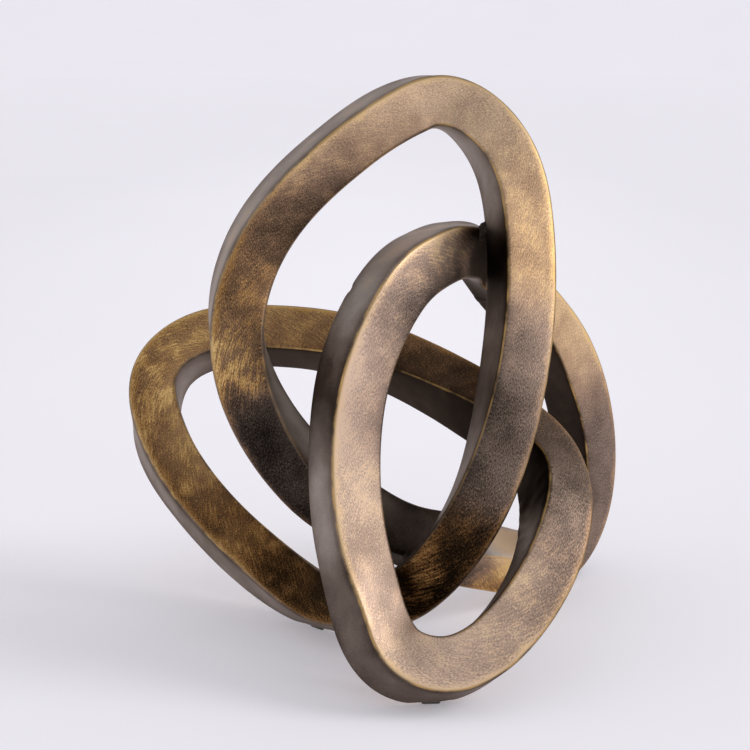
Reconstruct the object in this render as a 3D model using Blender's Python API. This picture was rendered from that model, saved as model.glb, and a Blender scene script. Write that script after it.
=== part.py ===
"""Table sculpture: one endless square bar tied into a loose knot of four link-shaped loops.

The bar is cast as four open links. Their ends butt together over a hidden dowel and are closed by a
weld run round a V groove. Where two links lean on each other a weld nugget joins them. The knot
stands on three thin felt pads, stuck to small flats ground on its lowest edges.
"""
import math

import bmesh
import bpy
import numpy as np
from mathutils import Matrix

# Driving dimensions, in millimetres unless a name says otherwise
MM = 0.001
BAR = 27.0             # side of the square bar
EDGE_RADIUS = 2.0      # rounding of its four long edges
FIT_GAP = 0.3          # left between any two pieces that touch
BUTT_GAP = 0.6         # left between two castings at a butt joint
GROOVE = 3.0           # depth and half width of the V groove round a butt joint
DOWEL_DIAMETER = 8.0
DOWEL_LENGTH = 28.0
WELD_GAP = 1.4         # between two bars that a nugget joins
WELD_RADIUS = 8.0      # reach of a nugget from the point where the bars are closest
PASS_GAP = 5.0         # between two bars that cross close by without a weld
PAD_LENGTH = 16.0
PAD_WIDTH = 4.0
PAD_THICKNESS = 1.0
FLAT_DEPTH = 1.5       # ground off the lowest edge to seat a pad
RING_STEP = 8.0        # spacing of the cross-sections along the bar
EDGE_STEPS = 2         # facets of a rounded edge
ROUND_SIDES = 24       # facets of a dowel
NUGGET_DETAIL = 3
SKIN_STEP = 1.0        # spacing of the places tried where a contact or a foot is sought
SKIN_SHARES = 3        # points tried on each facet of the section
SETTLE_PASSES = 4

# Centre line of the bar: x, y, z, then its roll in degrees. At no roll the front face looks along
# -Y as squarely as the run of the bar allows, and a positive roll turns it towards the outer side.
# The height of a foot is only a first guess: it is set from the bar and the pad. A station on the
# second bar of a crossing is measured from the one on the first bar, and only its direction counts.
STATIONS = {
    # tall link, from its top down the right arm
    "tall_top": (32, 43, 274, 3),
    "tall_shoulder": (60, 29, 257, 18),
    "tall_upper_weld": (73, 3, 217, 20),
    "tall_right_arm": (70, -30, 154, 16),
    "tall_middle_weld": (64, -43, 125, 10),
    "tall_right_shin": (52, -58, 90, -3),
    "tall_right_foot": (27, -58, 50, -14),
    "tall_lower_weld": (13, -48, 36, -22),
    "joint_tall_left": (-4, -31, 26, -36),
    # left link, which lies back and rises round its far side
    "foot_left": (-28, -5, 19, -38),
    "left_bottom": (-66, 29, 30, -38),
    "left_rise": (-104, 59, 60, -32),
    "left_end": (-122, 76, 90, -17),
    "left_bend": (-119, 90, 121, 24),
    "left_crown": (-98, 93, 136, 36),
    "left_top": (-67, 88, 141, 37),
    "left_return": (-19, 69, 140, 39),
    "left_inner": (36, 28, 126, 52),
    "joint_left_front": (65, -2, 114, 59),
    # front link
    "front_middle_weld": (15, 25, -19, 58),
    "front_right_bend": (89, -40, 91, 41),
    "front_right": (88, -59, 74, 15),
    "front_right_low": (68, -86, 39, -13),
    "foot_front": (30, -100, 19, -35),
    "front_corner": (12, -98, 21, -49),
    "front_left_low": (-19, -31, 13, -40),
    "front_left": (7, -39, 2, -31),
    "front_left_arm": (-14, -57, 120, -27),
    "front_left_high": (-6, -57, 163, -27),
    "front_bend": (11, -40, 192, -18),
    "front_top": (27, -13, 200, 1),
    "front_upper_weld": (-29, 14, -17, 7),
    "front_behind": (52, 28, 197, 7),
    "joint_front_rear": (70, 49, 178, 34),
    # rear link, from behind the right arm down to the table and back to the front
    "rear_shoulder": (104, 85, 134, 38),
    "rear_side": (122, 99, 62, 45),
    "rear_bend": (118, 97, 33, 42),
    "rear_corner": (107, 81, 19, 29),
    "foot_rear": (93, 62, 17, 11),
    "rear_return": (68, 30, 28, 10),
    "joint_rear_tall": (31, -10, 50, 36),
    # tall link again, up its left arm
    "tall_rear_weld": (1, 27, 22, 58),
    "tall_left_foot": (-20, -28, 80, 36),
    "tall_left_shin": (-42, -26, 101, 18),
    "tall_left_knee": (-62, -17, 132, 4),
    "tall_left_arm": (-70, 0, 170, -10),
    "tall_left_high": (-54, 23, 214, -15),
    "tall_left_shoulder": (-16, 39, 251, -12),
    "tall_left_crown": (12, 44, 269, -8),
}
# First bar, second bar, and the gap left between them
CROSSINGS = (
    ("tall_upper_weld", "front_upper_weld", WELD_GAP),
    ("tall_middle_weld", "front_middle_weld", WELD_GAP),
    ("tall_lower_weld", "tall_rear_weld", WELD_GAP),
    ("tall_left_foot", "front_left", PASS_GAP),
    ("tall_lower_weld", "front_left_low", PASS_GAP),
)
NUGGETS = {
    "weld_upper_crossing": ("tall_upper_weld", "front_upper_weld"),
    "weld_middle_crossing": ("tall_middle_weld", "front_middle_weld"),
    "weld_lower_crossing": ("tall_lower_weld", "tall_rear_weld"),
}
LINKS = {
    "tall_link": ("joint_rear_tall", "joint_tall_left"),
    "left_link": ("joint_tall_left", "joint_left_front"),
    "front_link": ("joint_left_front", "joint_front_rear"),
    "rear_link": ("joint_front_rear", "joint_rear_tall"),
}
FEET = {"foot_front": "front_link", "foot_left": "left_link", "foot_rear": "rear_link"}

FRONT = np.array((0.0, -1.0, 0.0))
UP = np.array((0.0, 0.0, 1.0))
NAMES = list(STATIONS)
FLAT_HEIGHT = PAD_THICKNESS + FIT_GAP


def unit(vector):
    return vector / np.linalg.norm(vector)


class Path:
    """Closed cubic curve through the stations, carrying the roll of the bar."""

    def __init__(self, values):
        self.values = np.asarray(values, float)
        step = np.linalg.norm(np.roll(self.values, -1, 0)[:, :3] - self.values[:, :3], axis=1)
        self.knots = np.concatenate(([0.0], np.cumsum(step)))
        self.length = self.knots[-1]
        before = np.roll(step, 1)
        slope = (np.roll(self.values, -1, 0) - self.values) / step[:, None]
        count = len(step)
        matrix = np.diag(2 * (before + step))
        for i in range(count):
            matrix[i, i - 1] += before[i]
            matrix[i, (i + 1) % count] += step[i]
        self.bend = np.linalg.solve(matrix, 6 * (slope - np.roll(slope, 1, 0)))
        self.step = step

    def at(self, distance):
        """Centre, direction, front normal and outer normal at a distance along the bar."""
        s = distance % self.length
        i = min(int(np.searchsorted(self.knots, s, "right")) - 1, len(self.step) - 1)
        j = (i + 1) % len(self.step)
        h = self.step[i]
        a = (self.knots[i + 1] - s) / h
        b = 1.0 - a
        value = (a * self.values[i] + b * self.values[j]
                 + ((a**3 - a) * self.bend[i] + (b**3 - b) * self.bend[j]) * h * h / 6)
        along = unit(((self.values[j] - self.values[i]) / h
                      + ((3 * b * b - 1) * self.bend[j] - (3 * a * a - 1) * self.bend[i]) * h / 6)[:3])
        plain = unit(FRONT - along * (along @ FRONT))
        roll = math.radians(value[3])
        front = math.cos(roll) * plain + math.sin(roll) * np.cross(plain, along)
        return value[:3], along, front, np.cross(front, along)

    def station(self, name):
        return self.knots[NAMES.index(name)]


def reach(path, name, direction):
    """How far the rounded square bar extends from its centre line in a direction."""
    _, _, front, outer = path.at(path.station(name))
    spread = abs(direction @ front) + abs(direction @ outer)
    return (BAR / 2 - EDGE_RADIUS) * spread + EDGE_RADIUS


def settle():
    """Set crossing bars apart and the feet on the table, whatever the size of the bar."""
    values = np.array([STATIONS[name] for name in NAMES], float)
    for first, second, _ in CROSSINGS:
        values[NAMES.index(second), :3] += values[NAMES.index(first), :3]
    for _ in range(SETTLE_PASSES):
        path = Path(values)
        for first, second, gap in CROSSINGS:
            away = unit(np.array(STATIONS[second][:3]))
            apart = reach(path, first, away) + reach(path, second, away) + gap
            values[NAMES.index(second), :3] = values[NAMES.index(first), :3] + away * apart
        for name in FEET:
            values[NAMES.index(name), 2] = FLAT_HEIGHT - FLAT_DEPTH + reach(path, name, UP)
    return Path(values)


def section(inset=0.0):
    """Points round the bar, outer then front, with one in the middle of each flat side."""
    half = BAR / 2 - inset
    radius = max(EDGE_RADIUS - inset, EDGE_RADIUS / 8)
    points = []
    for corner in range(4):
        middle = math.radians(45 + 90 * corner)
        centre = (half - radius) * math.sqrt(2)
        for k in range(EDGE_STEPS + 1):
            turn = math.radians(90 * corner + 90 * k / EDGE_STEPS)
            points.append((centre * math.cos(middle) + radius * math.cos(turn),
                           centre * math.sin(middle) + radius * math.sin(turn)))
        points.append((half * math.cos(turn), half * math.sin(turn)))
    return points


def ring(mesh, path, distance, inset=0.0):
    centre, _, front, outer = path.at(distance)
    return [mesh.verts.new((centre + o * outer + f * front) * MM) for o, f in section(inset)]


def bridge(mesh, rings):
    for first, second in zip(rings, rings[1:]):
        for k in range(len(first)):
            n = (k + 1) % len(first)
            mesh.faces.new((first[k], first[n], second[n]))
            mesh.faces.new((first[k], second[n], second[k]))


def sweep(mesh, path, stations):
    """Closed run of the bar through (distance, inset) pairs."""
    rings = [ring(mesh, path, distance, inset) for distance, inset in stations]
    bridge(mesh, rings)
    mesh.faces.new(rings[0][::-1])
    mesh.faces.new(rings[-1])


def spaced(start, end):
    count = max(1, math.ceil((end - start) / RING_STEP))
    return [start + (end - start) * k / count for k in range(count + 1)]


def material(name, colour, roughness, metallic):
    made = bpy.data.materials.new(name)
    made.use_nodes = True
    shader = made.node_tree.nodes["Principled BSDF"]
    shader.inputs["Base Color"].default_value = (*colour, 1.0)
    shader.inputs["Roughness"].default_value = roughness
    shader.inputs["Metallic"].default_value = metallic
    return made


def add(name, mesh, finish, parent, matrix=None):
    """Make a mesh a named object under the parent, shaded smooth with crisp edges."""
    data = bpy.data.meshes.new(name)
    mesh.to_mesh(data)
    mesh.free()
    data.shade_smooth()
    data.set_sharp_from_angle(angle=math.radians(30))
    if finish:
        data.materials.append(finish)
    made = bpy.data.objects.new(name, data)
    bpy.context.collection.objects.link(made)
    made.parent = parent
    if matrix is not None:
        made.matrix_local = matrix
    return made


def as_cutter(made):
    made.hide_render = True
    made.display_type = "WIRE"
    return made


def cut(target, cutter):
    modifier = target.modifiers.new(cutter.name, "BOOLEAN")
    modifier.operation = "DIFFERENCE"
    modifier.solver = "EXACT"
    modifier.object = cutter


def joint_matrix(path, name):
    """Frame of a butt joint, its Z axis along the bar."""
    centre, along, front, outer = path.at(path.station(name))
    axes = Matrix(np.column_stack((outer, front, along)).tolist()).to_4x4()
    return Matrix.Translation(centre * MM) @ axes


def rod(radius, length):
    mesh = bmesh.new()
    bmesh.ops.create_cone(mesh, cap_ends=True, segments=ROUND_SIDES, radius1=radius * MM,
                          radius2=radius * MM, depth=length * MM)
    return mesh


def link_ends(path, name):
    start, end = (path.station(joint) for joint in LINKS[name])
    return start, end + path.length * (end < start)


def link_rings(path, name):
    """Distances of the full cross-sections of a casting, between its two grooves."""
    start, end = link_ends(path, name)
    return spaced(start + GROOVE, end - GROOVE)


def build_link(path, name, finish, parent):
    """Casting between two butt joints, its ends chamfered for the weld groove."""
    start, end = link_ends(path, name)
    runs = [(s, 0.0) for s in link_rings(path, name)]
    mesh = bmesh.new()
    sweep(mesh, path, [(start + BUTT_GAP / 2, GROOVE), *runs, (end - BUTT_GAP / 2, GROOVE)])
    return add(name, mesh, finish, parent)


def build_dowel(path, joint, finish, parent):
    name = joint.replace("joint", "dowel")
    return add(name, rod(DOWEL_DIAMETER / 2, DOWEL_LENGTH), finish, parent, joint_matrix(path, joint))


def socket_cutter(path, joint, parent):
    mesh = rod(DOWEL_DIAMETER / 2 + FIT_GAP, DOWEL_LENGTH + 2 * FIT_GAP)
    return as_cutter(add(joint.replace("joint", "socket"), mesh, None, parent, joint_matrix(path, joint)))


def build_seam(path, joint, finish, parent):
    """Weld run that fills the V groove flush with the bar."""
    side = GROOVE - FIT_GAP * math.sqrt(2)
    middle = path.station(joint)
    mesh = bmesh.new()
    loops = [ring(mesh, path, middle - side), ring(mesh, path, middle), ring(mesh, path, middle + side)]
    loops += [ring(mesh, path, middle, side), loops[0]]
    bridge(mesh, loops)
    return add(joint.replace("joint", "weld"), mesh, finish, parent)


def outline(path, distance):
    """Points close together round the bar at a distance along it."""
    centre, _, front, outer = path.at(distance)
    corners = np.array(section())
    shares = np.linspace(0, 1, SKIN_SHARES, endpoint=False)[:, None, None]
    around = (corners * (1 - shares) + np.roll(corners, -1, 0) * shares).reshape(-1, 2)
    return centre + around[:, :1] * outer + around[:, 1:] * front


def beside(path, name):
    """Distances to try, for the bar's own width either way from a station."""
    return path.station(name) + np.arange(-BAR, BAR + SKIN_STEP, SKIN_STEP)


def closest_middle(path, first, second):
    """Middle of the narrowest place between two crossing bars."""
    one, other = (np.concatenate([outline(path, s) for s in beside(path, name)])
                  for name in (first, second))
    gaps = np.linalg.norm(one[:, None] - other[None], axis=2)
    i, j = np.unravel_index(gaps.argmin(), gaps.shape)
    return (one[i] + other[j]) / 2


def trim_cutter(path, name, bar, parent):
    """Stretch of one bar beside a nugget, larger all round by the fit gap."""
    at = path.station(bar)
    half = path.length / 2
    rings = [s for link in LINKS for s in link_rings(path, link)]
    offsets = sorted((s - at + half) % path.length - half for s in rings)
    past_nugget = BAR + WELD_RADIUS + RING_STEP
    mesh = bmesh.new()
    sweep(mesh, path, [(at + k, -FIT_GAP) for k in offsets if abs(k) < past_nugget])
    return as_cutter(add(f"trim_{name}_{bar}", mesh, None, parent))


def build_nugget(path, name, finish, parent):
    """Weld metal between two crossing bars, trimmed to both of them."""
    middle = closest_middle(path, *NUGGETS[name])
    mesh = bmesh.new()
    bmesh.ops.create_icosphere(mesh, subdivisions=NUGGET_DETAIL, radius=WELD_RADIUS * MM)
    made = add(name, mesh, finish, parent, Matrix.Translation(middle * MM))
    for bar in NUGGETS[name]:
        cut(made, trim_cutter(path, name, bar, parent))
    return made


def foot_place(path, name):
    """Middle of the flat ground on the bar near a foot, and the bar's heading there."""
    lowest = min(beside(path, name), key=lambda s: outline(path, s)[:, 2].min())
    centre, along, _, _ = path.at(lowest)
    aside = unit(np.cross(UP, along))
    ground = [(p - centre) @ aside for p in outline(path, lowest) if p[2] < FLAT_HEIGHT]
    return centre + aside * (min(ground) + max(ground)) / 2, along


def foot_matrix(path, name, height):
    place, along = foot_place(path, name)
    turn = math.atan2(along[1], along[0])
    return Matrix.Translation((place[0] * MM, place[1] * MM, height * MM)) @ Matrix.Rotation(turn, 4, "Z")


def build_pad(path, name, finish, parent):
    """Felt strip with round ends, lying along the bar."""
    mesh = bmesh.new()
    radius = PAD_WIDTH / 2
    rim = []
    for side in (1, -1):
        for k in range(ROUND_SIDES // 2 + 1):
            turn = math.radians(-90 + 180 * k / (ROUND_SIDES // 2))
            x = side * (PAD_LENGTH / 2 - radius + radius * math.cos(turn))
            rim.append(mesh.verts.new((x * MM, side * radius * math.sin(turn) * MM, 0.0)))
    base = mesh.faces.new(rim)
    top = bmesh.ops.extrude_face_region(mesh, geom=[base])["geom"]
    lifted = [item for item in top if isinstance(item, bmesh.types.BMVert)]
    bmesh.ops.translate(mesh, verts=lifted, vec=(0.0, 0.0, PAD_THICKNESS * MM))
    bmesh.ops.recalc_face_normals(mesh, faces=mesh.faces)
    return add(name.replace("foot", "pad"), mesh, finish, parent, foot_matrix(path, name, 0.0))


def flat_cutter(path, name, parent):
    mesh = bmesh.new()
    bmesh.ops.create_cube(mesh, size=4 * BAR * MM)
    height = FLAT_HEIGHT - 2 * BAR
    return as_cutter(add(name.replace("foot", "flat"), mesh, None, parent, foot_matrix(path, name, height)))


def clear_scene():
    for old in list(bpy.data.objects):
        bpy.data.objects.remove(old, do_unlink=True)


def centre_on_table(parent, links):
    """Move the parent so that the origin lies under the middle of the knot."""
    points = np.array([vertex.co for link in links for vertex in link.data.vertices])
    middle = (points.min(0) + points.max(0)) / 2
    parent.location = (-middle[0], -middle[1], 0.0)


def main():
    clear_scene()
    path = settle()
    bronze = material("patinated_casting", (0.165, 0.112, 0.068), 0.46, 0.85)
    bead = material("weld_metal", (0.075, 0.055, 0.038), 0.55, 0.85)
    steel = material("dowel_steel", (0.42, 0.42, 0.41), 0.35, 1.0)
    felt = material("dark_felt", (0.020, 0.019, 0.018), 0.95, 0.0)
    sculpture = bpy.data.objects.new("sculpture", None)
    bpy.context.collection.objects.link(sculpture)
    links = {name: build_link(path, name, bronze, sculpture) for name in LINKS}
    for name, (_, end) in LINKS.items():
        build_dowel(path, end, steel, sculpture)
        build_seam(path, end, bead, sculpture)
        socket = socket_cutter(path, end, sculpture)
        following = next(other for other, ends in LINKS.items() if ends[0] == end)
        cut(links[name], socket)
        cut(links[following], socket)
    for name in NUGGETS:
        build_nugget(path, name, bead, sculpture)
    for name, link in FEET.items():
        build_pad(path, name, felt, sculpture)
        cut(links[link], flat_cutter(path, name, sculpture))
    centre_on_table(sculpture, links.values())


main()
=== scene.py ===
# %% [markdown]
# # A knot sculpture in cast, patinated metal
#
# One square bar runs without an end through four leaning loops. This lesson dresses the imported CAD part:
# the castings are drawn again at a finer step, with the small faults of a sand casting, and get an antique
# bronze finish that is dark in the hollows and rubbed through to gold on faces and edges.

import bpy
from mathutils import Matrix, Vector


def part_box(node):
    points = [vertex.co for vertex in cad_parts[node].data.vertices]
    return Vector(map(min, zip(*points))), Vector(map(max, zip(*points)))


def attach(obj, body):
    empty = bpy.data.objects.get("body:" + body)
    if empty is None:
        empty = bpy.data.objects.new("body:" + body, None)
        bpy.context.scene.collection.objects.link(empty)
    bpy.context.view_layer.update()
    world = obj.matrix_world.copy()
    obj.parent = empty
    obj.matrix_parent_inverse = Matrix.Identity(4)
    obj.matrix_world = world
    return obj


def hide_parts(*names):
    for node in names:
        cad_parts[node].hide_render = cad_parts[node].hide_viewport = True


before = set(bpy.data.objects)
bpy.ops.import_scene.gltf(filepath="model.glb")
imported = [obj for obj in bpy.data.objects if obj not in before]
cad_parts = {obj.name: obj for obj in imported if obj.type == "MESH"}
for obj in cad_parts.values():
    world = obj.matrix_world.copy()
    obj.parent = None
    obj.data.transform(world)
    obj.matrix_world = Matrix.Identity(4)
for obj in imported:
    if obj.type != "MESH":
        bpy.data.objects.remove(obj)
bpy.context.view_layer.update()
print("CAD nodes:", ", ".join(sorted(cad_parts)))


# %% Tools for the rest of the lesson
import math

import bmesh
import bpy
import numpy as np
from mathutils import Matrix, Vector, noise

MM = 0.001
UP = np.array((0.0, 0.0, 1.0))
print("lengths below are in millimetres, and become metres when a mesh is made")


# %% [markdown]
# ## Camera
#
# The photograph was taken from a little above the object with a short telephoto lens, so the loops keep
# their true proportions. The camera stands where the measured edges of the bar agree with the picture.

# %% Camera
CAMERA_PLACE = Vector((-0.8, -836.0, 325.0)) * MM
CAMERA_TILT = 12.62
camera_data = bpy.data.cameras.new("photo_camera")
camera_data.lens = 80.0
camera_data.sensor_width = 36.0
camera = bpy.data.objects.new("photo_camera", camera_data)
camera.location = CAMERA_PLACE
camera.rotation_euler = (math.radians(90.0 - CAMERA_TILT), 0.0, 0.0)
bpy.context.scene.collection.objects.link(camera)
bpy.context.scene.camera = camera
bpy.context.scene.view_settings.view_transform = "Standard"
print("camera height", round(camera.location.z / MM), "mm, lens", camera_data.lens, "mm")


# %% [markdown]
# ## Colours and nodes
#
# Colours are written as the hex values an artist would pick on screen. Shaders work in linear light, so one
# function turns them. A second one adds a shader node of any kind, sets it up and links what feeds it.

# %% Helpers for materials
def linear(hex_colour):
    """sRGB hex to linear RGBA."""
    parts = [int(hex_colour[k:k + 2], 16) / 255 for k in (1, 3, 5)]
    return (*[c / 12.92 if c <= 0.04045 else ((c + 0.055) / 1.055) ** 2.4 for c in parts], 1.0)


def node(tree, kind, inputs=None, stops=(), **settings):
    """Adds a node; an input is a value, a socket, or a node whose first output in use is linked."""
    made = tree.nodes.new("ShaderNode" + kind)
    for name, value in settings.items():
        setattr(made, name, value)
    for k, colour in enumerate(stops):
        points = made.color_ramp.elements
        point = points[k] if k < 2 else points.new(1.0)
        point.position, point.color = k / (len(stops) - 1), linear(colour)
    for socket, value in (inputs or {}).items():
        if isinstance(value, bpy.types.Node):
            value = next(output for output in value.outputs if output.enabled)
        if isinstance(value, bpy.types.NodeSocket):
            tree.links.new(value, made.inputs[socket])
        else:
            made.inputs[socket].default_value = value
    return made


def new_material(name, inputs):
    """Material with a Principled shader; inputs is a function of its tree that gives what feeds it."""
    made = bpy.data.materials.new(name)
    made.use_nodes = True
    tree = made.node_tree
    tree.nodes.remove(tree.nodes["Principled BSDF"])
    shader = node(tree, "BsdfPrincipled", inputs(tree))
    tree.links.new(shader.outputs["BSDF"], tree.nodes["Material Output"].inputs["Surface"])
    print("material", name, "has", len(tree.nodes), "nodes")
    return made


print("the middle grey of the screen is", round(linear("#808080")[0], 2), "in linear light")


# %% [markdown]
# ## Floor
#
# The object stands on pale paper that runs back so far that no corner shows; here a wide strip with a gentle
# cove at its far end does the same. A share of the paper's tint is painted on as a glow: painted light that
# fills in the shadows on the paper, a little stronger in a painted pool of light behind the object.

# %% Pale paper
PAPER_HALF_WIDTH = 6.0     # the paper is far larger than the object, so its sizes are in metres
PAPER_FRONT = -4.0
COVE_START = 7.0
COVE_RADIUS = 3.0
PAPER_TOP = 4.5
COVE_STEPS = 24
# painted light: where and how strongly the paper glows, as fill in its shadows and as a brighter pool behind
# the object
LIGHT_POOL_CENTRE = (0.0, 0.9, 0.0)
LIGHT_POOL_SIZE = (0.6, 2.5, 9.0)
PAINTED_GLOW, PAINTED_POOL_GLOW = 0.23, 0.34

profile = [(PAPER_FRONT, 0.0)]
for step in range(COVE_STEPS + 1):
    turn = math.radians(90 * step / COVE_STEPS)
    profile.append((COVE_START + COVE_RADIUS * math.sin(turn), COVE_RADIUS * (1 - math.cos(turn))))
profile.append((COVE_START + COVE_RADIUS, PAPER_TOP))
paper_points = [(x, y, z) for y, z in profile for x in (-PAPER_HALF_WIDTH, PAPER_HALF_WIDTH)]
paper_faces = [(2 * k, 2 * k + 1, 2 * k + 3, 2 * k + 2) for k in range(len(profile) - 1)]
paper_mesh = bpy.data.meshes.new("studio_paper")
paper_mesh.from_pydata(paper_points, [], paper_faces)
paper_mesh.shade_smooth()
paper = bpy.data.objects.new("studio_paper", paper_mesh)
bpy.context.scene.collection.objects.link(paper)
print("paper profile points:", len(profile))


# %% Finish of the paper
def paper_with_painted_glow(tree):
    """Uncoated paper: dull, nearly white, with a wide faint unevenness and a painted glow in its own tint."""
    place = node(tree, "TexCoord").outputs["Object"]
    uneven = node(tree, "TexNoise", {"Vector": place, "Scale": 2.0, "Detail": 2.0})
    tint = node(tree, "Mix", {"Factor": uneven, "A": linear("#e2e0e6"), "B": linear("#e6e4ea")},
                data_type="RGBA")
    # painted light: a glow in the paper's own tint, stronger in a pool behind the object
    from_light_pool = node(tree, "Mapping", {"Vector": place, "Location": LIGHT_POOL_CENTRE, "Scale": LIGHT_POOL_SIZE},
                     vector_type="TEXTURE")
    light_pool = node(tree, "TexGradient", {"Vector": from_light_pool}, gradient_type="SPHERICAL")
    painted_glow_strength = node(tree, "MapRange", {"Value": light_pool.outputs["Fac"], "To Min": PAINTED_GLOW, "To Max": PAINTED_POOL_GLOW})
    return {"Base Color": tint, "Emission Color": tint, "Emission Strength": painted_glow_strength,
            "Roughness": 0.9, "Specular IOR Level": 0.2}


paper_mesh.materials.append(new_material("matt_paper_with_painted_glow", paper_with_painted_glow))


# %% [markdown]
# ## Light
#
# Two soft bands of shadow run from the feet to the left. A soft box on the right, a little in front of the
# object, does that, and a very wide weak one overhead fills in. A sun lamp with a wide disc lights the whole
# floor alike, as such a box does from well away. The rest comes from white walls: bright near the floor and
# dimmer overhead, which keeps the upright faces from going flat.

# %% Studio light
SOFT_BOXES = {
    # direction that the light comes from, width in degrees, strength
    "front_right_box": ((1.0, -0.12, 0.68), 26.0, 1.0),
    "overhead_box": ((0.2, 0.2, 1.0), 90.0, 0.35),
}
LAMP_DISTANCE = 3.0     # metres; it only shows where a lamp stands, a sun lights from any distance alike
for name, (came_from, spread, strength) in SOFT_BOXES.items():
    lamp_data = bpy.data.lights.new(name, "SUN")
    lamp_data.angle = math.radians(spread)
    lamp_data.energy = strength
    lamp = bpy.data.objects.new(name, lamp_data)
    lamp.location = Vector(came_from).normalized() * LAMP_DISTANCE
    lamp.rotation_euler = (-Vector(came_from)).to_track_quat("-Z", "Y").to_euler()
    bpy.context.scene.collection.objects.link(lamp)
    print(name, "strength", strength, "over", spread, "degrees")

world = bpy.data.worlds.new("white_studio")
world.use_nodes = True
tree = world.node_tree
direction = node(tree, "TexCoord").outputs["Generated"]
height = node(tree, "SeparateXYZ", {"Vector": direction}).outputs["Z"]
walls = node(tree, "MapRange", {"Value": height, "To Min": 1.0, "To Max": 0.35})
tree.links.new(walls.outputs["Result"], tree.nodes["Background"].inputs["Strength"])
tree.nodes["Background"].inputs["Color"].default_value = linear("#f6f5f8")
bpy.context.scene.world = world


# %% [markdown]
# ## Route of the bar
#
# All castings share one route. It is a closed curve through places on the bar's centre line, each with the
# roll of the square section there. They are the same places as in the CAD, so the finer mesh follows the
# same knot. A station on the second bar of a crossing is given from the first one, and only its direction
# counts: how far apart the bars are follows from their size.

# %% Stations
STATIONS = {
    # tall link, from its top down the right arm
    "tall_top": (32, 43, 274, 3),
    "tall_shoulder": (60, 29, 257, 18),
    "tall_upper_weld": (73, 3, 217, 20),
    "tall_right_arm": (70, -30, 154, 16),
    "tall_middle_weld": (64, -43, 125, 10),
    "tall_right_shin": (52, -58, 90, -3),
    "tall_right_foot": (27, -58, 50, -14),
    "tall_lower_weld": (13, -48, 36, -22),
    "joint_tall_left": (-4, -31, 26, -36),
    # left link, which lies back and rises round its far side
    "foot_left": (-28, -5, 19, -38),
    "left_bottom": (-66, 29, 30, -38),
    "left_rise": (-104, 59, 60, -32),
    "left_end": (-122, 76, 90, -17),
    "left_bend": (-119, 90, 121, 24),
    "left_crown": (-98, 93, 136, 36),
    "left_top": (-67, 88, 141, 37),
    "left_return": (-19, 69, 140, 39),
    "left_inner": (36, 28, 126, 52),
    "joint_left_front": (65, -2, 114, 59),
    # front link
    "front_middle_weld": (15, 25, -19, 58),
    "front_right_bend": (89, -40, 91, 41),
    "front_right": (88, -59, 74, 15),
    "front_right_low": (68, -86, 39, -13),
    "foot_front": (30, -100, 19, -35),
    "front_corner": (12, -98, 21, -49),
    "front_left_low": (-19, -31, 13, -40),
    "front_left": (7, -39, 2, -31),
    "front_left_arm": (-14, -57, 120, -27),
    "front_left_high": (-6, -57, 163, -27),
    "front_bend": (11, -40, 192, -18),
    "front_top": (27, -13, 200, 1),
    "front_upper_weld": (-29, 14, -17, 7),
    "front_behind": (52, 28, 197, 7),
    "joint_front_rear": (70, 49, 178, 34),
    # rear link, from behind the right arm down to the table and back to the front
    "rear_shoulder": (104, 85, 134, 38),
    "rear_side": (122, 99, 62, 45),
    "rear_bend": (118, 97, 33, 42),
    "rear_corner": (107, 81, 19, 29),
    "foot_rear": (93, 62, 17, 11),
    "rear_return": (68, 30, 28, 10),
    "joint_rear_tall": (31, -10, 50, 36),
    # tall link again, up its left arm
    "tall_rear_weld": (1, 27, 22, 58),
    "tall_left_foot": (-20, -28, 80, 36),
    "tall_left_shin": (-42, -26, 101, 18),
    "tall_left_knee": (-62, -17, 132, 4),
    "tall_left_arm": (-70, 0, 170, -10),
    "tall_left_high": (-54, 23, 214, -15),
    "tall_left_shoulder": (-16, 39, 251, -12),
    "tall_left_crown": (12, 44, 269, -8),
}
NAMES = list(STATIONS)
print(len(NAMES), "stations")


# %% [markdown]
# A cubic through all stations is smooth in position and in bending, like a bar drawn round a former. Its bend
# at each station comes from one small set of linear equations.

# %% Smooth closed route
def unit(vectors):
    """Vectors of the same directions, 1 long."""
    return vectors / np.linalg.norm(vectors, axis=-1, keepdims=True)


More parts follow.
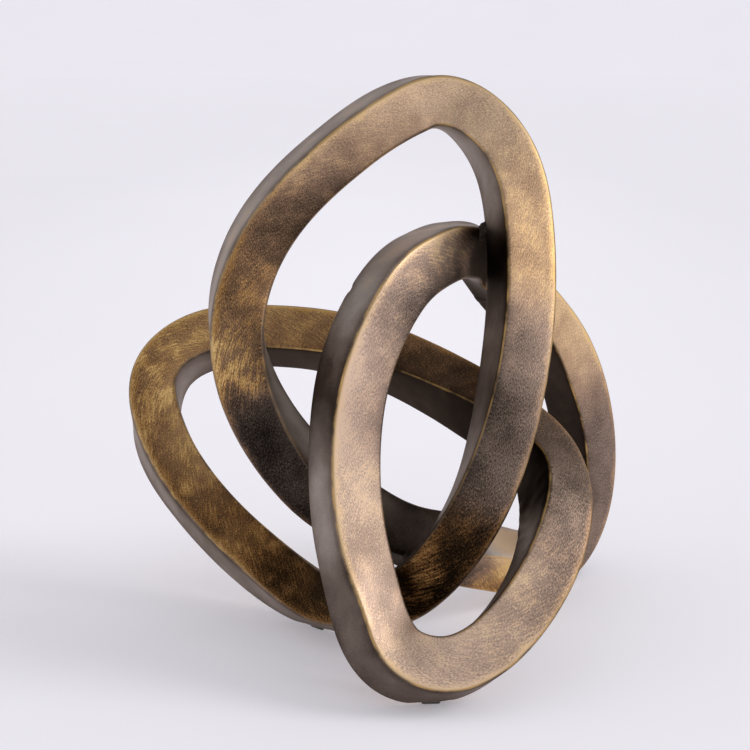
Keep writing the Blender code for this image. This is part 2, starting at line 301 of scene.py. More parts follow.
class Route:
    """Closed cubic curve through the stations, carrying the roll of the bar."""

    def __init__(self, values):
        self.values = values
        self.step = np.linalg.norm(np.roll(values, -1, 0)[:, :3] - values[:, :3], axis=1)
        self.knots = np.concatenate(([0.0], np.cumsum(self.step)))
        self.length = self.knots[-1]
        before = np.roll(self.step, 1)
        slope = (np.roll(values, -1, 0) - values) / self.step[:, None]
        matrix = np.diag(2 * (before + self.step))
        for i, (earlier, later) in enumerate(zip(before, self.step)):
            matrix[i, i - 1] += earlier
            matrix[i, (i + 1) % len(self.step)] += later
        self.bend = np.linalg.solve(matrix, 6 * (slope - np.roll(slope, 1, 0)))

    def station(self, name):
        return self.knots[NAMES.index(name)]

    def at(self, distances):
        """Centres, directions, front and outer normals of the bar at distances along it."""
        s = np.atleast_1d(np.asarray(distances, float)) % self.length
        i = np.clip(np.searchsorted(self.knots, s, "right") - 1, 0, len(self.step) - 1)
        j = (i + 1) % len(self.step)
        h = self.step[i][:, None]
        a = ((self.knots[i + 1] - s) / self.step[i])[:, None]
        b = 1.0 - a
        value = (a * self.values[i] + b * self.values[j]
                 + ((a**3 - a) * self.bend[i] + (b**3 - b) * self.bend[j]) * h * h / 6)
        slope = ((self.values[j] - self.values[i]) / h
                 + ((3 * b * b - 1) * self.bend[j] - (3 * a * a - 1) * self.bend[i]) * h / 6)
        along = unit(slope[:, :3])
        front = np.array((0.0, -1.0, 0.0))
        plain = unit(front - along * (along @ front)[:, None])
        roll = np.radians(value[:, 3:])
        front = np.cos(roll) * plain + np.sin(roll) * np.cross(plain, along)
        return value[:, :3], along, front, np.cross(front, along)


print("route of", len(NAMES), "cubic pieces")


# %% [markdown]
# The bars that cross are set apart, and the feet set on the table, by the same rule as in the CAD. The CAD
# part was then moved so that its origin lies under the middle of the knot. The dowels inside the joints show
# by how much, because each one's middle is a point of the route.

# %% Crossings and feet
BAR = 27.0
EDGE_RADIUS = 2.0
WELD_GAP = 1.4
PASS_GAP = 5.0
FLAT_HEIGHT = 1.3     # height of the flats that are ground on the lowest edges
FLAT_DEPTH = 1.5
SETTLE_PASSES = 4
CROSSINGS = {
    # second bar, then the first bar and the gap between them
    "front_upper_weld": ("tall_upper_weld", WELD_GAP),
    "front_middle_weld": ("tall_middle_weld", WELD_GAP),
    "tall_rear_weld": ("tall_lower_weld", WELD_GAP),
    "front_left": ("tall_left_foot", PASS_GAP),
    "front_left_low": ("tall_lower_weld", PASS_GAP),
}
FEET = ("foot_front", "foot_left", "foot_rear")
JOINTS = ("tall_left", "left_front", "front_rear", "rear_tall")


def reach(route, name, direction):
    """How far the rounded square bar extends from its centre line in a direction."""
    _, _, front, outer = route.at(route.station(name))
    spread = abs(front[0] @ direction) + abs(outer[0] @ direction)
    return (BAR / 2 - EDGE_RADIUS) * spread + EDGE_RADIUS


def settled():
    """Stations with the crossing bars set apart and the feet on the table."""
    places = np.array(list(STATIONS.values()), float)
    for second, (first, _) in CROSSINGS.items():
        places[NAMES.index(second), :3] += places[NAMES.index(first), :3]
    for _ in range(SETTLE_PASSES):
        route = Route(places)
        for second, (first, gap) in CROSSINGS.items():
            away = unit(np.array(STATIONS[second][:3], float))
            apart = reach(route, first, away) + reach(route, second, away) + gap
            places[NAMES.index(second), :3] = places[NAMES.index(first), :3] + away * apart
        for name in FEET:
            places[NAMES.index(name), 2] = FLAT_HEIGHT - FLAT_DEPTH + reach(route, name, UP)
    return places


places = settled()
dowels = np.array([np.mean(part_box(f"dowel_{joint}"), axis=0) for joint in JOINTS]) / MM
shift = dowels - [places[NAMES.index(f"joint_{joint}"), :3] for joint in JOINTS]
places[:, :3] += shift.mean(0)
ROUTE = Route(places)
print("bar length", round(ROUTE.length), "mm; dowels agree with the route within",
      round(float(np.ptp(shift, axis=0).max()), 3), "mm")


# %% [markdown]
# ## Section of the bar
#
# The bar is square with softly rounded edges. Each point of the section also knows how far it is from the
# nearest edge and which face it lies on, because wear starts at edges and the faces are finished differently.

# %% Rounded square
FLAT_PARTS = 7
EDGE_PARTS = 4


def section_points():
    """Rows of outer share, front share, normal angle, place across the face and distance to an edge."""
    rows = []
    half = BAR / 2
    straight = half - EDGE_RADIUS
    for side in range(4):
        angle = math.pi / 2 * side
        out, over = (math.cos(angle), math.sin(angle)), (-math.sin(angle), math.cos(angle))
        for k in range(FLAT_PARTS):
            t = straight * (2 * k / FLAT_PARTS - 1)
            rows.append((half * out[0] + t * over[0], half * out[1] + t * over[1], angle, t,
                         straight - abs(t) + EDGE_RADIUS * math.pi / 4))
        for k in range(EDGE_PARTS):
            turn = math.pi / 2 * k / EDGE_PARTS
            corner = [straight * (out[n] + over[n]) for n in range(2)]
            rows.append((corner[0] + EDGE_RADIUS * math.cos(angle + turn),
                         corner[1] + EDGE_RADIUS * math.sin(angle + turn), angle + turn,
                         half if turn < math.pi / 4 else -half, EDGE_RADIUS * abs(turn - math.pi / 4)))
    return np.array(rows)


SECTION = section_points()
print("section points", len(SECTION))


# %% [markdown]
# ## Where the finish is rubbed
#
# The patina was worked by hand, so it is uneven: the top and the front loop are rubbed bright, while low and
# hidden stretches stay dark, partly from the stain and partly as painted shade. The crevices at the crossings
# are painted darker as shade, and a few faces where the light falls are painted lighter as highlights. Zones
# along the bar say how far the front face is rubbed, painted light and shade included (about 0 is the dark
# stain, about 1 bare metal), how golden it is, how much lighter its outer half is painted, and how plainly
# brush strokes show. Other zones say how light the smooth sides are, as patina tone and painted light and
# shade together. Between zones the values blend. They were set by comparing pictures of the model with the
# photograph.

# %% Zones of the finish
FRONT_ZONES = (
    # station, mm past it, half length in mm, then rubbed with painted light and shade, golden, painted light
    # outside, brushed
    ("tall_top", 10, 60, 0.85, 0.15, 0.00, 0.1),
    ("tall_upper_weld", 0, 40, 0.65, 0.50, 0.00, 0.2),
    ("tall_right_arm", 0, 20, 0.55, 0.00, 0.15, 0.1),
    ("tall_middle_weld", 12, 35, 0.30, 0.00, 0.10, 0.0),
    ("tall_right_shin", 25, 15, 0.05, 1.00, -0.10, 0.3),
    ("tall_right_foot", -5, 12, 0.05, 1.00, -0.15, 0.9),
    ("foot_left", 5, 40, 0.10, 1.00, 0.00, 0.3),
    ("left_bottom", 5, 15, 0.45, 0.90, 0.15, 0.4),
    ("left_bottom", 30, 15, 0.25, 0.80, 0.00, 0.3),
    ("left_end", -10, 55, 0.55, 0.75, -0.20, 0.5),
    ("left_end", 40, 20, 0.55, 0.80, 0.00, 0.7),
    ("left_top", 10, 50, 0.60, 0.75, 0.10, 0.3),
    ("left_inner", 0, 70, 0.25, 0.65, 0.10, 0.1),
    ("front_right_bend", 0, 45, 0.35, 0.00, 0.05, 0.0),
    ("front_right", 0, 18, 0.20, 0.00, 0.05, 0.1),
    ("front_right", 25, 25, 0.65, 0.05, -0.20, 0.5),
    ("front_right_low", 35, 45, 0.80, 0.00, -0.05, 0.2),
    ("foot_front", 0, 12, 0.95, 0.00, 0.00, 0.1),
    ("front_corner", 10, 14, 0.80, 0.00, -0.10, 0.1),
    ("front_corner", 30, 14, 0.40, 0.00, 0.20, 0.1),
    ("front_left_low", 10, 14, 0.55, 0.00, 0.10, 0.1),
    ("front_left", -15, 50, 0.80, 0.05, -0.05, 0.2),
    # painted highlight: the outer half of this front face is painted lighter where the light catches it
    ("front_left_arm", 15, 35, 0.85, 0.00, 0.20, 0.2),
    ("front_left_high", 30, 20, 0.45, 0.00, 0.20, 0.2),
    ("front_bend", 35, 28, 0.65, 0.05, 0.25, 0.5),
    # painted shade: the front face is painted darker than the darkest stain where it runs behind the tall
    # link at the upper weld
    ("front_upper_weld", -2, 14, -0.40, 0.30, 0.00, 0.0),
    ("rear_shoulder", -20, 45, 0.85, 0.50, 0.05, 0.1),
    ("rear_side", -5, 50, 0.45, 0.00, 0.05, 0.0),
    ("rear_return", 15, 12, 0.80, 0.90, -0.50, 0.7),
    ("rear_return", 35, 15, 0.45, 0.10, -0.20, 0.2),
    ("tall_rear_weld", 0, 30, -0.05, 0.30, 0.00, 0.2),
    ("tall_left_shin", -5, 30, 0.10, 0.00, -0.05, 0.0),
    ("tall_left_knee", 18, 15, 0.45, 0.60, 0.10, 0.9),
    ("tall_left_arm", 10, 30, 0.40, 0.65, -0.05, 0.3),
    ("tall_left_high", -5, 20, 0.20, 0.40, 0.05, 0.1),
    ("tall_left_high", 40, 30, 0.45, 0.30, 0.20, 0.3),
    ("tall_left_shoulder", 30, 35, 0.80, 0.40, 0.00, 0.1),
)
SIDE_ZONES = (
    # station, mm past it, half length in mm, then how light, patina tone and painted light and shade together
    ("tall_shoulder", 10, 45, 0.65),
    # painted shade: the side of the tall link at the upper crossing
    ("tall_upper_weld", 25, 20, 0.00),
    ("tall_right_arm", 0, 25, 0.40),
    ("tall_right_shin", 0, 40, 0.50),
    ("left_bottom", 0, 90, 0.60),
    ("left_end", 30, 30, 0.70),
    ("left_return", 20, 90, 0.20),
    ("front_right_bend", 5, 15, 0.00),
    ("front_right", 30, 40, 0.60),
    ("front_corner", 15, 40, 0.45),
    ("front_left", 15, 35, 0.70),
    ("front_left_arm", 20, 25, 0.20),
    ("front_left_high", 30, 25, 0.75),
    ("front_bend", 20, 30, 0.85),
    ("rear_shoulder", 20, 60, 0.20),
    # painted light: the upper side of the rear return is painted lighter, as lit from above
    ("rear_return", 5, 28, 1.20),
    ("tall_rear_weld", 0, 40, 0.35),
    ("tall_left_shin", 20, 50, 0.65),
    ("tall_left_high", 0, 90, 0.75),
)


LEAST_WEIGHT = 1e-9     # keeps a place that is far from all zones from dividing by nothing


def blended(zones, distances):
    """Values of the zones at distances along the bar, each weighted by how near it is."""
    total = np.zeros((len(distances), len(zones[0]) - 3))
    weight = np.full((len(distances), 1), LEAST_WEIGHT)
    for name, past, half, *values in zones:
        away = (distances - ROUTE.station(name) - past + ROUTE.length / 2) % ROUTE.length - ROUTE.length / 2
        near = np.exp(-(away / half) ** 2)[:, None]
        total += near * np.array(values)
        weight += near
    return total / weight


print(len(FRONT_ZONES), "zones on the front face,", len(SIDE_ZONES), "on the sides")


# %% [markdown]
# ## Skin of a casting
#
# Each link is a sand casting, filed by hand: its faces wander by a few tenths of a millimetre, it has a pit
# or a lump or two, and where a weld was dressed with a grinder it stays rough. A modifier could do this, but
# moving the points along their normals in code keeps the faults where they belong.

# %% Small faults of the casting
WANDER = ((60.0, 0.30), (16.0, 0.06))       # size and height of the waviness
# station, mm past it, side as an angle round the section from the outer face, width, depth; a depth below 0
# makes a lump
PITS = (
    ("tall_left_high", -12.0, 45.0, 1.6, 0.9),
    ("tall_left_arm", 30.0, 45.0, 1.2, 0.6),
    ("front_bend", -14.0, 315.0, 2.0, 1.0),
    ("left_inner", 18.0, 135.0, 2.2, -0.7),
)
# station, mm past it, half length, side, height of the roughness
ROUGH_PATCHES = (
    ("front_right_bend", 14.0, 16.0, 180.0, 0.7),
    ("tall_rear_weld", -14.0, 12.0, 0.0, 0.4),
)
ROUGH_GRAIN = 3.5


def side_direction(front, outer, degrees):
    """Direction out of the bar at an angle round its section, from the outer face over the front."""
    turn = math.radians(degrees)
    return math.cos(turn) * outer + math.sin(turn) * front


def faulty(points, normals):
    """Skin points moved off the true section, as casting, filing and grinding left them."""
    lift = np.zeros(len(points))
    for size, height in WANDER:
        lift += height * np.array([noise.noise(Vector(p) / size) for p in points])
    corner = BAR / math.sqrt(2) - EDGE_RADIUS * (math.sqrt(2) - 1)
    for name, past, side, width, depth in PITS:
        centre, _, front, outer = (row[0] for row in ROUTE.at(ROUTE.station(name) + past))
        away = np.linalg.norm(points - centre - corner * side_direction(front, outer, side), axis=1)
        lift -= depth * np.exp(-(away / width) ** 2)
    for name, past, half, side, height in ROUGH_PATCHES:
        centre, _, front, outer = (row[0] for row in ROUTE.at(ROUTE.station(name) + past))
        turned = np.clip(normals @ side_direction(front, outer, side), 0, 1)
        near = np.exp(-(np.linalg.norm(points - centre, axis=1) / (half + BAR / 2)) ** 4)
        rough = np.array([noise.noise(Vector(p) / ROUGH_GRAIN) for p in points])
        lift += height * rough * near * turned**2
    return points + normals * lift[:, None]


print(len(PITS), "pits and lumps,", len(ROUGH_PATCHES), "rough patches")


# %% [markdown]
# ## Castings
#
# A casting is a fine sweep of the section along its stretch of the route. The lowest edges are ground flat
# for the pads. Each point carries, as attributes, what the patina needs to know about its place on the bar.

# %% Sweep the section
RING_STEP = 1.7
# painted sheen: the middle of each side is painted lighter than along its edges, by SIDE_SHADE
SIDE_SHADE = 0.3      # how much darker a side is along its edges than in its middle
FACE_START, FACE_FULL = 0.7, 0.99     # how far a normal faces front where the front finish starts and is full
SHARP_ANGLE = 60.0


def sweep(distances):
    """Points and normals of the bar's true skin for cross-sections at distances along it."""
    centre, _, front, outer = ROUTE.at(distances)
    points = (centre[:, None] + SECTION[None, :, :1] * outer[:, None]
              + SECTION[None, :, 1:2] * front[:, None]).reshape(-1, 3)
    normals = (np.cos(SECTION[None, :, 2:3]) * outer[:, None]
               + np.sin(SECTION[None, :, 2:3]) * front[:, None]).reshape(-1, 3)
    return points, normals


def tube_faces(rings, count):
    """Faces of a closed tube of rings of points, its two end caps last."""
    faces = []
    for r in range(rings - 1):
        for k in range(count):
            n = (k + 1) % count
            faces.append((r * count + k, r * count + n, (r + 1) * count + n, (r + 1) * count + k))
    faces.append(tuple(range(count))[::-1])
    faces.append(tuple(range((rings - 1) * count, rings * count)))
    return faces


def facing(share):
    """0 on the sides and 1 on the front face, with a short change over the rounded edge."""
    return np.clip((share - FACE_START) / (FACE_FULL - FACE_START), 0, 1)


def finish_of_bar(distances):
    """Attributes the patina reads: place along and across the bar, which face it is, and how it is rubbed,
    with painted light and shade.
    """
    rings, count = len(distances), len(SECTION)
    upright = np.tile(np.sin(SECTION[:, 2]), rings)
    across = np.tile(SECTION[:, 3], rings)
    rub_and_painted_light, golden, painted_light_outside, brushed = np.repeat(blended(FRONT_ZONES, distances), count, axis=0).T
    light = np.repeat(blended(SIDE_ZONES, distances), count, axis=0)[:, 0]
    return {
        "along": np.repeat(distances, count),
        "across": across,
        "edge": np.tile(SECTION[:, 4], rings),
        "front": facing(np.abs(upright)),
        # painted highlight and shade: the outer half of the front face is painted lighter, or darker where
        # the zone value is below 0
        "rub_and_painted_light": rub_and_painted_light - facing(upright) * painted_light_outside * across / (BAR / 2),
        "golden": golden,
        "brushed": brushed,
        # painted sheen: each side is painted lighter in its middle than along its edges
        "light": light * (1 - SIDE_SHADE * (across / (BAR / 2)) ** 2),
    }


def new_piece(name, points, faces, attributes=None):
    """Object with a mesh from points in millimetres; each point carries the attributes."""
    mesh = bpy.data.meshes.new(name)
    mesh.from_pydata([tuple(p) for p in points * MM], [], faces)
    for key, values in (attributes or {}).items():
        mesh.attributes.new(key, "FLOAT", "POINT").data.foreach_set("value", values.astype(np.float32))
    mesh.shade_smooth()
    mesh.set_sharp_from_angle(angle=math.radians(SHARP_ANGLE))
    made = bpy.data.objects.new(name, mesh)
    bpy.context.scene.collection.objects.link(made)
    return made


print("one cross-section every", RING_STEP, "mm")


# %% Four castings
LINKS = {
    "tall_casting": ("tall_link", "joint_rear_tall", "joint_tall_left"),
    "left_casting": ("left_link", "joint_tall_left", "joint_left_front"),
    "front_casting": ("front_link", "joint_left_front", "joint_front_rear"),
    "rear_casting": ("rear_link", "joint_front_rear", "joint_rear_tall"),
}
BUTT_GAP = 0.2


def casting(name, start, end):
    """One link between two distances along the route, ground flat where it is lowest."""
    count = math.ceil((end - start) / RING_STEP) + 1
    distances = np.linspace(start, end, count)
    points = faulty(*sweep(distances))
    points[:, 2] = np.maximum(points[:, 2], FLAT_HEIGHT)
    return new_piece(name, points, tube_faces(count, len(SECTION)), finish_of_bar(distances))


castings = {}
for name, (cad_node, first, last) in LINKS.items():
    start, end = ROUTE.station(first) + BUTT_GAP / 2, ROUTE.station(last) - BUTT_GAP / 2
    end += ROUTE.length if end < start else 0.0
    castings[name] = casting(name, start, end)
    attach(castings[name], "root")
    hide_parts(cad_node)
    print(name, len(castings[name].data.polygons), "faces")


# %% [markdown]
# ## Butt welds
#
# Where two castings meet, the groove was filled with weld metal and dressed almost flush. A narrow raised
# band with ripples shows that. It is a ring, closed inside the bar.

# %% Seam beads
BEAD_HALF_WIDTH = 2.2
BEAD_CROWN = 0.3
BEAD_DEPTH = 2.4
BEAD_RIPPLE = 0.2
RIPPLE_SIZE = 1.8
BEAD_RINGS = 9
BEAD_SINK = 0.05      # how far the rim of the bead lies under the skin of the bar


def seam_bead(name, middle):
    """Rippled band round the bar at a joint."""
    share = np.linspace(-1, 1, BEAD_RINGS)
    points, normals = sweep(middle + share * BEAD_HALF_WIDTH)
    points = faulty(points, normals)
    crown = np.repeat(BEAD_CROWN * (1 - share**2), len(SECTION)) - BEAD_SINK
    crown += BEAD_RIPPLE * np.array([noise.noise(Vector(p) / RIPPLE_SIZE) for p in points])
    outside = points + normals * crown[:, None]
    core_points, core_normals = sweep([middle])
    inside = core_points - core_normals * BEAD_DEPTH
    count = len(SECTION)
    faces = tube_faces(BEAD_RINGS, count)[:-2]
    last, core = (BEAD_RINGS - 1) * count, BEAD_RINGS * count
    for k in range(count):
        n = (k + 1) % count
        faces.append((last + k, last + n, core + n, core + k))
        faces.append((core + k, core + n, n, k))
    attributes = finish_of_bar(np.full(BEAD_RINGS + 1, middle))
    return new_piece(name, np.concatenate((outside, inside)), faces, attributes)


beads = {}
for joint in JOINTS:
    beads[joint] = seam_bead(f"seam_{joint}", ROUTE.station(f"joint_{joint}"))
    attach(beads[joint], "root")
    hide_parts(f"weld_{joint}")
print("seam beads:", len(beads))


# %% [markdown]
# ## Crossing welds
#
# Where two bars lean on each other the welder ran a fillet into the crevice. To model one, the two stretches
# of bar, slightly slimmer, and small drops of weld metal all along the crevice are fused and then smoothed:
# smoothing sinks every outer edge into the castings and fills only the crevice, just as a fillet does.

# %% Fillets in the crevices
FILLET_STRETCH = 16.0
FILLET_RINGS = 21
FILLET_SLIM = 0.6
CREVICE = 4.0         # the welder filled the crevice where it is narrower than this
DROP_RADIUS = 1.7
DROP_SPACING = 2.0
DROP_ROUNDNESS = 2    # how often the faces of a drop are divided
SEARCH_STEP = 0.5
FILLET_VOXEL = 0.8
FILLET_FLOW = 40      # rounds of smoothing
FLOW_SHARE = 0.5      # how far a point moves to the middle of its neighbours in a round
WELDED = {"upper": "front_upper_weld", "middle": "front_middle_weld", "lower": "tall_rear_weld"}


def crevice_points(first, second):
    """Places spread along the narrow crevice between two crossing bars, the narrowest first."""
    tries = np.arange(-BAR, BAR, 2 * SEARCH_STEP)
    one, other = (sweep(ROUTE.station(name) + tries)[0] for name in (first, second))
    gaps = np.linalg.norm(one[:, None] - other[None], axis=2)
    i, j = np.nonzero(gaps < CREVICE)
    order = np.argsort(gaps[i, j], kind="stable")
    kept = []
    for middle in ((one[i] + other[j]) / 2)[order]:
        if all(np.linalg.norm(middle - place) > DROP_SPACING for place in kept):
            kept.append(middle)
    return kept


def nearest_distance(name, point):
    """Distance along the route, close to a station, where the centre line is nearest to a point."""
    tries = ROUTE.station(name) + np.arange(-BAR, BAR, SEARCH_STEP)
    return tries[np.linalg.norm(ROUTE.at(tries)[0] - point, axis=1).argmin()]


def fillet(name, first, second):
    """Weld metal that has run into the crevice between two bars."""
    drops = crevice_points(first, second)
    stretch = np.linspace(-FILLET_STRETCH, FILLET_STRETCH, FILLET_RINGS)
    mesh = bmesh.new()
    for bar in (first, second):
        points, normals = sweep(nearest_distance(bar, drops[0]) + stretch)
        verts = [mesh.verts.new(p * MM) for p in points - normals * FILLET_SLIM]
        for face in tube_faces(FILLET_RINGS, len(SECTION)):
            mesh.faces.new([verts[k] for k in face])
    for drop in drops:
        bmesh.ops.create_icosphere(mesh, subdivisions=DROP_ROUNDNESS, radius=DROP_RADIUS * MM,
                                   matrix=Matrix.Translation(drop * MM))
    data = bpy.data.meshes.new(name)
    mesh.to_mesh(data)
    mesh.free()
    made = bpy.data.objects.new(name, data)
    bpy.context.scene.collection.objects.link(made)
    fuse = made.modifiers.new("fuse", "REMESH")
    fuse.mode = "VOXEL"
    fuse.voxel_size = FILLET_VOXEL * MM
    fuse.use_smooth_shade = True
    flow = made.modifiers.new("flow", "SMOOTH")
    flow.factor = FLOW_SHARE
    flow.iterations = FILLET_FLOW
    print(name, "runs through", len(drops), "drops")
    return made


fillets = {}
for name, second in WELDED.items():
    fillets[name] = fillet(f"fillet_{name}", CROSSINGS[second][0], second)
    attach(fillets[name], "root")
    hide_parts(f"weld_{name}_crossing")


# %% [markdown]
# ## Felt pads
#
# A strip of pressed felt is stuck under each low point, so that the metal doesn't scratch a table. It has
# round ends, soft rims and a slightly fuzzy outline. It lies where the CAD pad lies, a little inside it.

# %% Pads
PAD_LENGTH = 9.0
PAD_WIDTH = 2.4
PAD_FUZZ = 0.12
FUZZ_SIZE = 0.8
PAD_LAYERS = ((0.0, 0.3), (0.2, 0.0), (0.75, 0.0), (1.0, 0.3))     # share of the height, inset of the rim
PAD_HEIGHT = 1.1
END_STEPS = 14


def felt_pad(name, foot, cad_node):
    """Strip of felt lengthwise under the bar, built up in layers of one outline."""
    centre = np.mean(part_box(cad_node), axis=0) / MM
    heading = ROUTE.at(ROUTE.station(foot))[1][0]
    lengthwise = unit(np.array((heading[0], heading[1], 0.0)))
    sideways = np.cross(UP, lengthwise)
    rings = []
    for share, inset in PAD_LAYERS:
        radius = PAD_WIDTH / 2 - inset
        for end in (1, -1):
            for k in range(END_STEPS + 1):
                turn = math.radians(-90 + 180 * k / END_STEPS)
                x = end * (PAD_LENGTH / 2 - PAD_WIDTH / 2 + radius * math.cos(turn))
                rings.append((x, end * radius * math.sin(turn), share * PAD_HEIGHT))
    local = np.array(rings)
    points = centre * (1, 1, 0) + local[:, :1] * lengthwise + local[:, 1:2] * sideways + local[:, 2:] * UP
    fuzz = np.array([noise.noise_vector(Vector(p) / FUZZ_SIZE) for p in points]) * (1, 1, 0)
    return new_piece(name, points + PAD_FUZZ * fuzz, tube_faces(len(PAD_LAYERS), 2 * (END_STEPS + 1)))


pads = {}
for foot in FEET:
    cad_node = foot.replace("foot", "pad")
    pads[foot] = felt_pad(f"felt_{cad_node}", foot, cad_node)
    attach(pads[foot], "root")
    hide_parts(cad_node)
print("felt pads:", len(pads))


# %% [markdown]
# ## Antique bronze patina on sand-cast aluminium
#
# The casting is stained almost black, then rubbed back by hand. To the eye that gives a warm brown metal with
# a fine brushed grain, smoky patches, gold brush strokes, a gold band along the outer edge of the front face
# and brass-bright lines on the edges, while the sides that were filed smooth stay a dark grey brown. The
# shader first works out how far each spot is rubbed, with the painted light and shade of the zones, then
# looks up its colour, plain or golden.

# %% Patina
GRAIN_MM = (1.1, 0.45)     # sand grain of about 0.5 mm, drawn out along the bar by wire brushing
SMOKE_MM = 24.0
STROKE_MM = (8.0, 1.0)     # length and width of a brush stroke; hairs are finer, drawn coarser to show
STROKE_SLANT = math.radians(25.0)
WEAR_MM = 11.0
KEYS = ("along", "across", "edge", "front", "rub_and_painted_light", "golden", "brushed", "light")
PLAIN = ("#16110e", "#4d423b", "#8a776b", "#bda391", "#ecd0b8")
GOLDEN = ("#150e07", "#503820", "#91693f", "#c49c62", "#edca8c")
SIDES = ("#0b0807", "#3e332c", "#7b6e65", "#aca29b", "#e2c4a4")
BRASS = "#cfa869"
GLANCE = "#dad2cb"         # a dull stain mirrors less than clean metal when seen at a slant
FACE_SWINGS = {"grain": 0.95, "smoke": 0.4, "worn": 0.2, "strokes": 0.12}
SIDE_SWINGS = {"smoke": 0.4, "worn": 0.2, "grain": 0.3}
GRAIN_CATCH = 0.4          # how much of the gold that a dry brush leaves is up to the grain
CATCH_RANGE = (1.15, 1.5)  # where the brush starts to leave gold, and where it leaves most
BAND_WAVE = 12.0           # mm by which the inner side of the gold band wanders
BAND_RANGE = (-3.0, -8.0)  # place across the face where the band starts and where it is full
EDGE_LINE = (0.8, 0.1)     # mm from the middle of an edge where its worn line starts and is full


def swung(tree, value, patterns, swings):
    """A value moved up and down by patterns, each by its own swing."""
    for name, swing in swings.items():
        more = node(tree, "MapRange", {"Value": patterns[name], "To Min": -swing / 2, "To Max": swing / 2})
        value = node(tree, "Math", {0: value, 1: more}, operation="ADD")
    return value


def patina(tree):
    """How far each spot is rubbed, painted light and shade included, decides its colour; the edges are worn
    through over everything.
    """
    read = {key: node(tree, "Attribute", attribute_name=key).outputs["Fac"] for key in KEYS}
    place = node(tree, "TexCoord").outputs["Object"]
    smoke = node(tree, "TexNoise", {"Vector": place, "Scale": 1 / (SMOKE_MM * MM), "Detail": 4.0})
    worn = node(tree, "TexNoise", {"Vector": place, "Scale": 1 / (WEAR_MM * MM), "Detail": 3.0})
    skin = node(tree, "CombineXYZ", {"X": read["along"], "Y": read["across"]})
    grain_place = node(tree, "Mapping", {"Vector": skin, "Scale": (*GRAIN_MM, 1.0)}, vector_type="TEXTURE")
    grain = node(tree, "TexNoise", {"Vector": grain_place, "Scale": 1.0, "Detail": 2.0})
    stroke_place = node(tree, "Mapping", {"Vector": skin, "Rotation": (0.0, 0.0, STROKE_SLANT),
                                          "Scale": (*STROKE_MM, 1.0)}, vector_type="TEXTURE")
    strokes = node(tree, "TexNoise", {"Vector": stroke_place, "Scale": 1.0, "Detail": 3.0})
    patterns = {"grain": grain, "smoke": smoke, "worn": worn, "strokes": strokes}

    # A dry brush leaves gold on the grains that stand high, and there is a wavy band beside the outer edge
    dry = node(tree, "Math", {0: grain, 1: GRAIN_CATCH, 2: worn}, operation="MULTIPLY_ADD")
    dry = node(tree, "Math", {0: strokes, 1: dry}, operation="ADD")
    caught = node(tree, "MapRange", {"Value": dry, "From Min": CATCH_RANGE[0], "From Max": CATCH_RANGE[1],
                                     "To Max": 0.6})
    gilt = node(tree, "Math", {0: caught, 1: read["brushed"]}, operation="MULTIPLY")
    wavy = node(tree, "Math", {0: worn, 1: BAND_WAVE, 2: read["across"]}, operation="MULTIPLY_ADD")
    band = node(tree, "MapRange", {"Value": wavy, "From Min": BAND_RANGE[0], "From Max": BAND_RANGE[1],
                                   "To Max": 0.3})
    gilt = node(tree, "Math", {0: gilt, 1: band}, operation="ADD")

    # How far a spot is rubbed: its zone with its painted light and shade, the sand grain, smoky patches and
    # hairlines, then the gold on top
    rubbed_with_painted_light = swung(tree, read["rub_and_painted_light"], patterns, FACE_SWINGS)
    rubbed_with_painted_light = node(tree, "Math", {0: rubbed_with_painted_light, 1: gilt}, operation="ADD")
    gold = node(tree, "Math", {0: gilt, 1: 2.0, 2: read["golden"]}, operation="MULTIPLY_ADD", use_clamp=True)
    plain_tone = node(tree, "ValToRGB", {"Fac": rubbed_with_painted_light}, stops=PLAIN)
    golden_tone = node(tree, "ValToRGB", {"Fac": rubbed_with_painted_light}, stops=GOLDEN)
    face = node(tree, "Mix", {"Factor": gold, "A": plain_tone, "B": golden_tone}, data_type="RGBA")

    # Smooth sides, their tone with painted light and shade, then the worn edges over everything
    tone = swung(tree, read["light"], patterns, SIDE_SWINGS)
    side = node(tree, "ValToRGB", {"Fac": tone}, stops=SIDES)
    body = node(tree, "Mix", {"Factor": read["front"], "A": side, "B": face}, data_type="RGBA")
    line = node(tree, "MapRange", {"Value": read["edge"], "From Min": EDGE_LINE[0], "From Max": EDGE_LINE[1]})
    patchy = node(tree, "MapRange", {"Value": worn, "From Min": 0.40, "From Max": 0.60, "To Min": 0.1})
    exposure_with_painted_light = node(tree, "MapRange", {"Value": read["rub_and_painted_light"], "From Max": 0.5, "To Min": 0.1, "To Max": 0.9})
    wear = node(tree, "Math", {0: line, 1: patchy}, operation="MULTIPLY")
    wear = node(tree, "Math", {0: wear, 1: exposure_with_painted_light}, operation="MULTIPLY")
    colour = node(tree, "Mix", {"Factor": wear, "A": body, "B": linear(BRASS)}, data_type="RGBA")

    gloss = node(tree, "MapRange", {"Value": grain, "From Min": 0.3, "From Max": 0.7,
                                    "To Min": 0.40, "To Max": 0.54})
    sandy = node(tree, "Math", {0: grain, 1: read["front"]}, operation="MULTIPLY")
    bump = node(tree, "Bump", {"Height": sandy, "Strength": 0.3, "Distance": 0.25 * MM})
    return {"Base Color": colour, "Roughness": gloss, "Normal": bump, "Metallic": 0.95,
            "Specular IOR Level": 0.25, "Specular Tint": linear(GLANCE)}


bronze = new_material("patinated_sand_cast_aluminium", patina)
for piece in (*castings.values(), *beads.values()):
    piece.data.materials.append(bronze)


# %% [markdown]
# ## Weld metal, felt and steel
#
# The fillets lie deep in the crevices, where the stain pooled and nobody rubbed it off, so they are dark and
# a little rippled. Pressed wool felt is a mat of short fibres: dull, grey and uneven. The dowels are ground
# steel; they sit unseen inside the joints and keep their CAD shape.

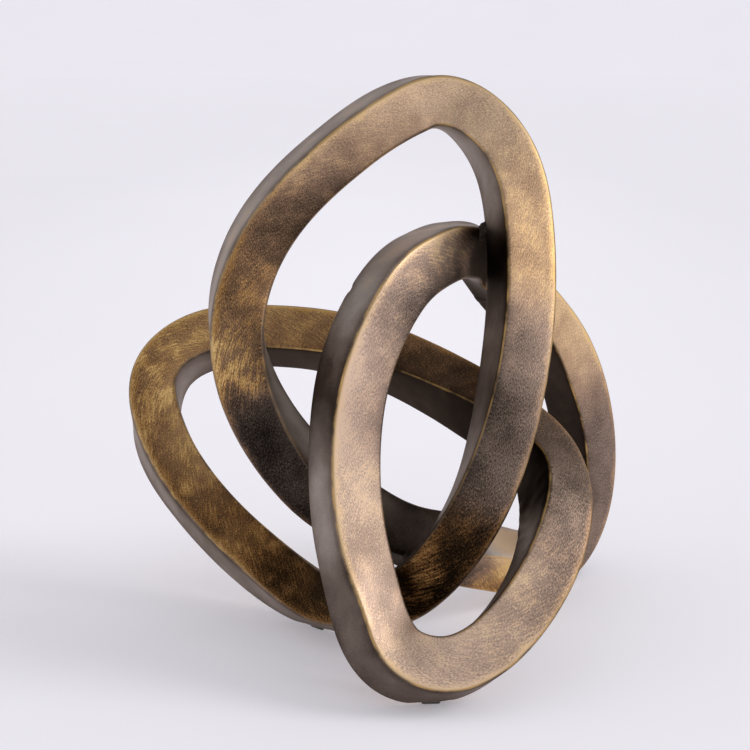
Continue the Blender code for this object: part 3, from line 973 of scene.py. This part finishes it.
# %% Smaller finishes
RIPPLE_MM = 2.5
FIBRE_MM = 0.8             # wool fibres are finer; drawn coarser so that they show
GRIND_MM = 0.5


def stained_weld(tree):
    """Weld metal, dark from the stain that pooled on it."""
    place = node(tree, "TexCoord").outputs["Object"]
    ripples = node(tree, "TexNoise", {"Vector": place, "Scale": 1 / (RIPPLE_MM * MM), "Detail": 3.0})
    colour = node(tree, "ValToRGB", {"Fac": ripples}, stops=("#15110e", "#3a332d", "#5f564e"))
    bump = node(tree, "Bump", {"Height": ripples, "Strength": 0.5, "Distance": 0.4 * MM})
    return {"Base Color": colour, "Normal": bump, "Roughness": 0.6, "Metallic": 0.95,
            "Specular Tint": linear(GLANCE)}


def pressed_felt(tree):
    """Dull grey wool."""
    place = node(tree, "TexCoord").outputs["Object"]
    fibres = node(tree, "TexNoise", {"Vector": place, "Scale": 1 / (FIBRE_MM * MM), "Detail": 4.0})
    colour = node(tree, "ValToRGB", {"Fac": fibres}, stops=("#4a4643", "#6b6661"))
    bump = node(tree, "Bump", {"Height": fibres, "Strength": 0.6, "Distance": 0.2 * MM})
    return {"Base Color": colour, "Normal": bump, "Roughness": 0.95}


def ground_steel(tree):
    """Bright steel with fine grinding marks."""
    place = node(tree, "TexCoord").outputs["Object"]
    lines = node(tree, "TexNoise", {"Vector": place, "Scale": 1 / (GRIND_MM * MM), "Detail": 2.0})
    colour = node(tree, "ValToRGB", {"Fac": lines}, stops=("#a9a9a6", "#c4c4c1"))
    gloss = node(tree, "MapRange", {"Value": lines, "To Min": 0.25, "To Max": 0.4})
    return {"Base Color": colour, "Roughness": gloss, "Metallic": 1.0}


weld_metal = new_material("stained_weld_metal", stained_weld)
for piece in fillets.values():
    piece.data.materials.append(weld_metal)
felt = new_material("pressed_wool_felt", pressed_felt)
for piece in pads.values():
    piece.data.materials.append(felt)
steel = new_material("ground_steel", ground_steel)
for joint in JOINTS:
    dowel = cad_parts[f"dowel_{joint}"]
    dowel.data.materials.clear()
    dowel.data.materials.append(steel)
